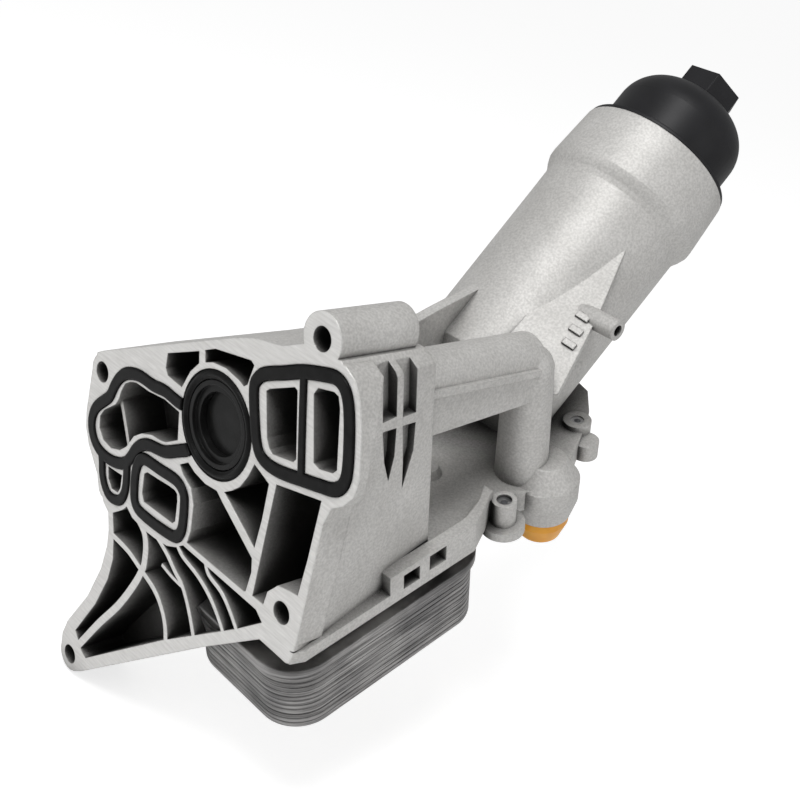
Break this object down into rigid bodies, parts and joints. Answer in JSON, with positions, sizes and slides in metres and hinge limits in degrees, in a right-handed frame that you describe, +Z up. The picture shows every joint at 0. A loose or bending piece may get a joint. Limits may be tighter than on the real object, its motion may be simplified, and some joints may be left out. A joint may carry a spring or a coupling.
{
  "type": "oil filter housing",
  "caption": "Cast aluminium oil filter housing with gasketed engine face, tilted filter tube, screw cap, plate oil cooler and coolant outlet",
  "frame": {"origin": "centre of the round oil port on the gasket face", "axes": "-Y out of the gasket face to the engine, +Z up in the face, +X to the coolant outlet side"},
  "size_m": [0.1602, 0.2735, 0.312],
  "materials": {
    "cast_body": "bead blasted casting, matte",
    "rubber_seal": "moulded, low sheen",
    "black_plastic": "glass filled nylon",
    "spring_steel": "drawn wire",
    "cap_plastic": "glass filled nylon, matte",
    "pleated_paper": "resin treated filter paper",
    "end_disc": "felt end disc",
    "core_plastic": "moulded lattice",
    "cooler_plates": "brazed plates",
    "steel_parts": "plated",
    "orange_plastic": "soft moulded"
  },
  "bodies": {
    "housing": {"housing": "cast_body", "round_port_gasket": "rubber_seal", "check_valve_cage": "black_plastic", "left_port_gasket": "rubber_seal", "lower_port_gasket": "rubber_seal", "twin_port_gasket": "rubber_seal", "standpipe": "black_plastic", "bypass_retainer": "steel_parts", "cooler_core": "cooler_plates", "cooler_base_plate": "cooler_plates", "cooler_port_seals": "rubber_seal", "cooler_screws": "steel_parts", "boss_screw": "steel_parts", "ear_screw": "steel_parts", "check_valve_spring": "spring_steel", "bypass_spring": "spring_steel", "standpipe_seal": "rubber_seal"},
    "check_disc": {"check_valve_disc": "black_plastic"},
    "bypass": {"bypass_plunger": "steel_parts"},
    "cartridge": {"filter_paper": "pleated_paper", "element_top_disc": "end_disc", "element_bottom_disc": "end_disc", "element_core": "core_plastic"},
    "cap": {"filter_cap": "cap_plastic", "cap_seal_ring": "rubber_seal"},
    "transport_cap": {"transport_cap": "orange_plastic"}
  },
  "joints": [
    {"name": "cap_lift", "type": "slide", "parent": "housing", "child": "cartridge", "axis": [0, 0.6428, 0.766], "range_m": [0, 0.016]},
    {"name": "cap_turn", "type": "hinge", "parent": "cartridge", "child": "cap", "pos_m": [0.005, 0.231, 0.101], "axis": [0, 0.6428, 0.766], "range_deg": [0, 1440]},
    {"name": "check_slide", "type": "slide", "parent": "housing", "child": "check_disc", "axis": [0, 1, 0], "range_m": [0, 0.005], "stiffness_N_per_m": 60, "springref_m": -0.002, "deforming": ["check_valve_spring"]},
    {"name": "bypass_slide", "type": "slide", "parent": "housing", "child": "bypass", "axis": [0, -0.6428, -0.766], "range_m": [0, 0.004], "stiffness_N_per_m": 200, "springref_m": -0.003, "deforming": ["bypass_spring"]},
    {"name": "transport_cap_pull", "type": "slide", "parent": "housing", "child": "transport_cap", "axis": [0, 0.2924, -0.9563], "range_m": [0, 0.016]}
  ],
  "couplings": [
    {"joint": "cap_turn", "follows": "cap_lift", "rad_per_m": 1570.8}
  ]
}
